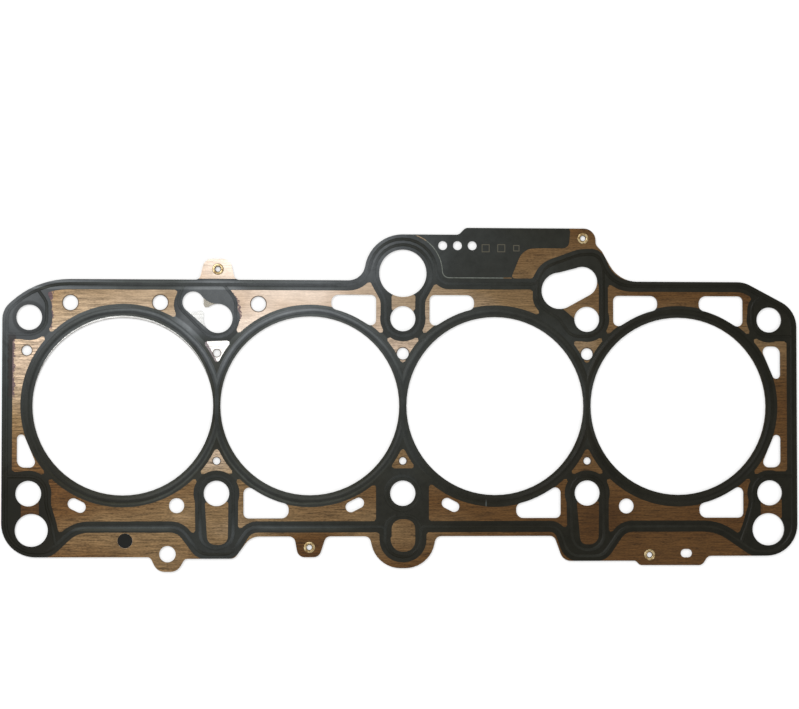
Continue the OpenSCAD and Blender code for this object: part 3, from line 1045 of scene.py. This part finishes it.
@dataclass(frozen=True)
class RivetSteel:
    """Yellow-plated steel of the rivets, burnished on top, with painted shadow round the rims.

    Attributes:
        light: Colour of the burnished ring.
        dark: Colour of the plating.
        rim: Colour of the painted shadow round the rims.
    """

    light: Colour = (206, 186, 142)
    dark: Colour = (126, 100, 60)
    rim: Colour = (62, 46, 26)

    def material(self) -> bpy.types.Material:
        """Builds the material."""
        tree = NodeTree("rivet_steel")
        marks = tree.noise((900, 900, 900), rough=0.6)
        colour = tree.ramp(tree.remap(marks, 0.35, 0.65), ((0.0, self.dark), (1.0, self.light)))
        # Painted shadow: the rims, lower than the flanges' faces, are darkened.
        rim = tree.remap(tree.from_mid_plane(), 0.66, 0.735, 1.0, 0.0)
        colour = tree.tinted(colour, rim, 1.0, self.rim)
        rough = tree.remap(marks, 0.3, 0.7, 0.46, 0.30)
        return tree.close(colour, rough, 0.8, tree.bump([(marks, 1.2e-5)], 0.5))


@dataclass(frozen=True)
class PaleFloor:
    """Pale matt floor, which the camera and mirrored rays see as white.

    Attributes:
        tone: Share of the light that the floor throws back.
        glow: Light added for what is seen directly, in a mirror or through glass.
    """

    tone: float = 0.62
    glow: float = 0.42

    def material(self) -> bpy.types.Material:
        """Builds the material."""
        tree = NodeTree("pale_floor")
        diffuse = tree.add("ShaderNodeBsdfDiffuse")
        diffuse.inputs["Color"].default_value = (self.tone, self.tone, self.tone, 1)
        glow = tree.add("ShaderNodeEmission")
        glow.inputs["Color"].default_value = (1, 1, 1, 1)
        rays = tree.add("ShaderNodeLightPath").outputs
        seen = tree.plus(rays["Is Camera Ray"], rays["Is Glossy Ray"], rays["Is Transmission Ray"])
        tree.wire(tree.times(seen, self.glow), glow.inputs["Strength"])
        both = tree.add("ShaderNodeAddShader")
        tree.wire(diffuse.outputs[0], both.inputs[0])
        tree.wire(glow.outputs[0], both.inputs[1])
        return tree.end(both.outputs[0])


@dataclass
class Palette:
    """The gasket's finishes, one material per slot.

    Attributes:
        made: The material of each slot.
    """

    made: dict[Slot, bpy.types.Material] = field(default_factory=dict)

    def __post_init__(self) -> None:
        """Builds every finish once."""
        makers: dict[Slot, Callable[[], bpy.types.Material]] = {
            Slot.LACQUERED: LacqueredSteel().material,
            Slot.BRIGHT: BrightSteel().material,
            Slot.ELASTOMER: Elastomer().material,
            Slot.RIVET: RivetSteel().material,
        }
        for slot, make in makers.items():
            self.made[slot] = make()
            LOG.info("finish %s", slot.value)

    def dress(self, obj: bpy.types.Object, slot: Slot) -> None:
        """Gives an object one finish.

        Args:
            obj: The object.
            slot: The finish's slot.
        """
        obj.data.materials.clear()
        obj.data.materials.append(self.made[slot])


@dataclass
class Stack:
    """The gasket's sheets and coatings, which keep their own meshes.

    Attributes:
        palette: The finishes.
        finishes: Slot of each node.
    """

    palette: Palette
    finishes: dict[str, Slot] = field(default_factory=lambda: {
        "upper_layer": Slot.LACQUERED,
        "upper_coating": Slot.ELASTOMER,
        "middle_layer": Slot.BRIGHT,
        "inner_coating": Slot.ELASTOMER,
        "lower_layer": Slot.LACQUERED,
        "lower_coating": Slot.ELASTOMER,
    })

    def dress(self, nodes: dict[str, bpy.types.Object]) -> None:
        """Dresses the nodes.

        Args:
            nodes: The frame's nodes by name.
        """
        for name, slot in self.finishes.items():
            self.palette.dress(nodes[name], slot)
            LOG.info("dressed %s", name)


@dataclass
class Rivet:
    """Hollow rivet whose ends are rolled over into smooth flanges.

    Attributes:
        node: Name of the rivet's node.
        palette: The finishes.
        bore_r: Radius of the hole through it.
        flange_r: Radius of its flanges.
        flange_t: Thickness of a flange.
        shank_r: Radius of its barrel.
        steps: Sides of the lathe.
    """

    node: str
    palette: Palette
    bore_r: float = 1.2 * MM
    flange_r: float = 2.7 * MM
    flange_t: float = 0.2 * MM
    shank_r: float = 1.7 * MM
    steps: int = 72

    def profile(self, low: float, high: float) -> list[Point]:
        """Half section of the rivet.

        Args:
            low: Height of the lower flange's face.
            high: Height of the upper flange's face.

        Returns:
            Radius and height of each point, round the section.
        """
        t, b, f, s = self.flange_t, self.bore_r, self.flange_r, self.shank_r
        upper = [
            (s, high - t),
            (f - 0.25 * t, high - t),
            (f, high - 0.7 * t),
            (f - 0.15 * t, high - 0.35 * t),
            (f - 1.2 * t, high - 0.12 * t),
            (f - 3.2 * t, high),
            (b + 2.4 * t, high),
            (b + 1.1 * t, high - 0.35 * t),
            (b + 0.3 * t, high - 1.4 * t),
            (b, high - 2.6 * t),
        ]
        lower = [(r, low + high - z) for r, z in reversed(upper)]
        return upper + lower

    def build(self) -> bpy.types.Object:
        """Builds the piece in place of its node.

        Returns:
            The rivet.
        """
        low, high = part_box(self.node)
        centre = (low + high) / 2
        mesh = bmesh.new()
        points = self.profile(low.z, high.z)
        verts = [mesh.verts.new((r, 0, z)) for r, z in points]
        edges = [mesh.edges.new((verts[i], verts[(i + 1) % len(verts)])) for i in range(len(verts))]
        bmesh.ops.spin(mesh, geom=verts + edges, cent=(0, 0, 0), axis=(0, 0, 1), dvec=(0, 0, 0),
                       angle=math.tau, steps=self.steps, use_merge=True, use_duplicate=False)
        bmesh.ops.remove_doubles(mesh, verts=mesh.verts, dist=1e-7)
        bmesh.ops.recalc_face_normals(mesh, faces=mesh.faces)
        bmesh.ops.translate(mesh, verts=mesh.verts, vec=(centre.x, centre.y, 0))
        piece = finish_piece(mesh, f"{self.node}_rolled", smooth=True)
        self.palette.dress(piece, Slot.RIVET)
        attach(piece, "root")
        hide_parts(self.node)
        LOG.info("built %s", piece.name)
        return piece


@dataclass
class MarkingSquares:
    """Row of three plain square frames, raised a little from the marking plate.

    Attributes:
        palette: The finishes.
        centres: Centre of each frame, in millimetres.
        halves: Half side of each frame, in millimetres.
        line: Width of a frame's line.
        rise: Height of the line.
    """

    palette: Palette
    centres: tuple[Point, ...] = ((39.5, 75.1), (47.0, 75.15), (54.2, 75.2))
    halves: tuple[float, ...] = (1.9, 1.9, 1.5)
    line: float = 0.4 * MM
    rise: float = 0.05 * MM

    def build(self, face: float) -> bpy.types.Object:
        """Builds the frames as one piece.

        Args:
            face: Height of the plate's face.

        Returns:
            The piece.
        """
        mesh = bmesh.new()
        for (x, y), half in zip(self.centres, self.halves):
            grid = bmesh.ops.create_grid(mesh, x_segments=1, y_segments=1, size=half * MM)
            bmesh.ops.translate(mesh, verts=grid["verts"], vec=(x * MM, y * MM, face + self.rise))
            faces = list({f for v in grid["verts"] for f in v.link_faces})
            bmesh.ops.inset_individual(mesh, faces=faces, thickness=self.line, use_even_offset=True)
            bmesh.ops.delete(mesh, geom=faces, context="FACES_ONLY")
        out = bmesh.ops.extrude_face_region(mesh, geom=mesh.faces[:])
        moved = [v for v in out["geom"] if isinstance(v, bmesh.types.BMVert)]
        bmesh.ops.translate(mesh, verts=moved, vec=(0, 0, -self.rise))
        bmesh.ops.recalc_face_normals(mesh, faces=mesh.faces)
        piece = finish_piece(mesh, "marking_squares")
        self.palette.dress(piece, Slot.ELASTOMER)
        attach(piece, "root")
        LOG.info("built %s", piece.name)
        return piece


def finish_piece(mesh: bmesh.types.BMesh, name: str, smooth: bool = False) -> bpy.types.Object:
    """Turns a bmesh into an object at the origin.

    Args:
        mesh: The finished bmesh.
        name: Name of the piece.
        smooth: Whether its faces are smooth.

    Returns:
        The object.
    """
    data = bpy.data.meshes.new(name)
    for face in mesh.faces:
        face.smooth = smooth
    mesh.to_mesh(data)
    mesh.free()
    obj = bpy.data.objects.new(name, data)
    bpy.context.scene.collection.objects.link(obj)
    return obj


@dataclass(frozen=True)
class Lamp:
    """Square soft lamp that faces the scene's origin.

    Attributes:
        name: Name of the lamp.
        place: Where it stands.
        size: Side of the square.
        watts: Its power.
    """

    name: str
    place: tuple[float, float, float]
    size: float
    watts: float

    def build(self) -> bpy.types.Object:
        """Adds the lamp.

        Returns:
            The lamp.
        """
        data = bpy.data.lights.new(self.name, "AREA")
        data.shape = "SQUARE"
        data.size = self.size
        data.energy = self.watts
        obj = bpy.data.objects.new(self.name, data)
        obj.location = self.place
        obj.rotation_mode = "QUATERNION"
        obj.rotation_quaternion = (-Vector(self.place)).to_track_quat("-Z", "Y")
        bpy.context.scene.collection.objects.link(obj)
        return obj


@dataclass
class Studio:
    """Pale floor, soft lamps and the camera.

    Attributes:
        floor_half: Half side of the floor.
        room_level: Strength of the even light from all round.
        lamps: The soft lamps.
        eye: Place of the camera.
        gaze: Turn of the camera.
        sensor: Width of its sensor, in millimetres.
        lens: Its focal length, in millimetres.
    """

    floor_half: float = 8.0
    room_level: float = 0.55
    lamps: tuple[Lamp, ...] = (
        Lamp("soft_box_left", (-0.55, 0.5, 1.5), 0.9, 14.0),
        Lamp("fill_right", (1.2, -0.9, 1.6), 1.2, 8.0),
    )
    eye: tuple[float, float, float] = (-0.078066, -0.015506, 1.133468)
    gaze: tuple[float, float, float, float] = (0.9992773, 0.0175377, -0.0337154, 0.0007888)
    sensor: float = 36.0
    lens: float = 107.8

    def floor(self, height: float) -> bpy.types.Object:
        """Makes the floor under the gasket.

        Args:
            height: Height of the floor.

        Returns:
            The floor.
        """
        mesh = bmesh.new()
        bmesh.ops.create_grid(mesh, x_segments=1, y_segments=1, size=self.floor_half,
                              matrix=Matrix.Translation((0, 0, height)))
        obj = finish_piece(mesh, "floor")
        obj.data.materials.append(PaleFloor().material())
        obj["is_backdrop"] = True
        return obj

    def room(self) -> None:
        """Lights the scene evenly from all round."""
        world = bpy.data.worlds.new("soft_room")
        world.use_nodes = True
        bpy.context.scene.world = world
        back = world.node_tree.nodes["Background"]
        back.inputs["Color"].default_value = (1, 1, 1, 1)
        back.inputs["Strength"].default_value = self.room_level

    def camera(self) -> None:
        """Places the camera."""
        data = bpy.data.cameras.new("camera")
        data.sensor_width = self.sensor
        data.lens = self.lens
        data.clip_start = 0.05
        data.clip_end = 20.0
        obj = bpy.data.objects.new("camera", data)
        obj.rotation_mode = "QUATERNION"
        obj.location = self.eye
        obj.rotation_quaternion = Quaternion(self.gaze)
        bpy.context.scene.collection.objects.link(obj)
        bpy.context.scene.camera = obj

    def build(self, height: float) -> None:
        """Builds the whole set.

        Args:
            height: Height of the floor.
        """
        self.floor(height)
        self.room()
        for lamp in self.lamps:
            lamp.build()
        self.camera()
        LOG.info("built the studio")


def main() -> None:
    """Builds the dressed gasket and its studio."""
    logging.basicConfig(level=logging.INFO, format="%(message)s")
    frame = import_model()
    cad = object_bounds()
    nodes = frame["nodes"]
    bpy.context.scene.view_settings.view_transform = "Standard"
    palette = Palette()
    Stack(palette).dress(nodes)
    for name in sorted(n for n in nodes if n.startswith("rivet_")):
        Rivet(name, palette).build()
    plate_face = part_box("upper_coating")[1].z - BEAD_RISE * MM
    MarkingSquares(palette).build(plate_face)
    Studio().build(cad[0].z)


if __name__ == "__main__":
    main()
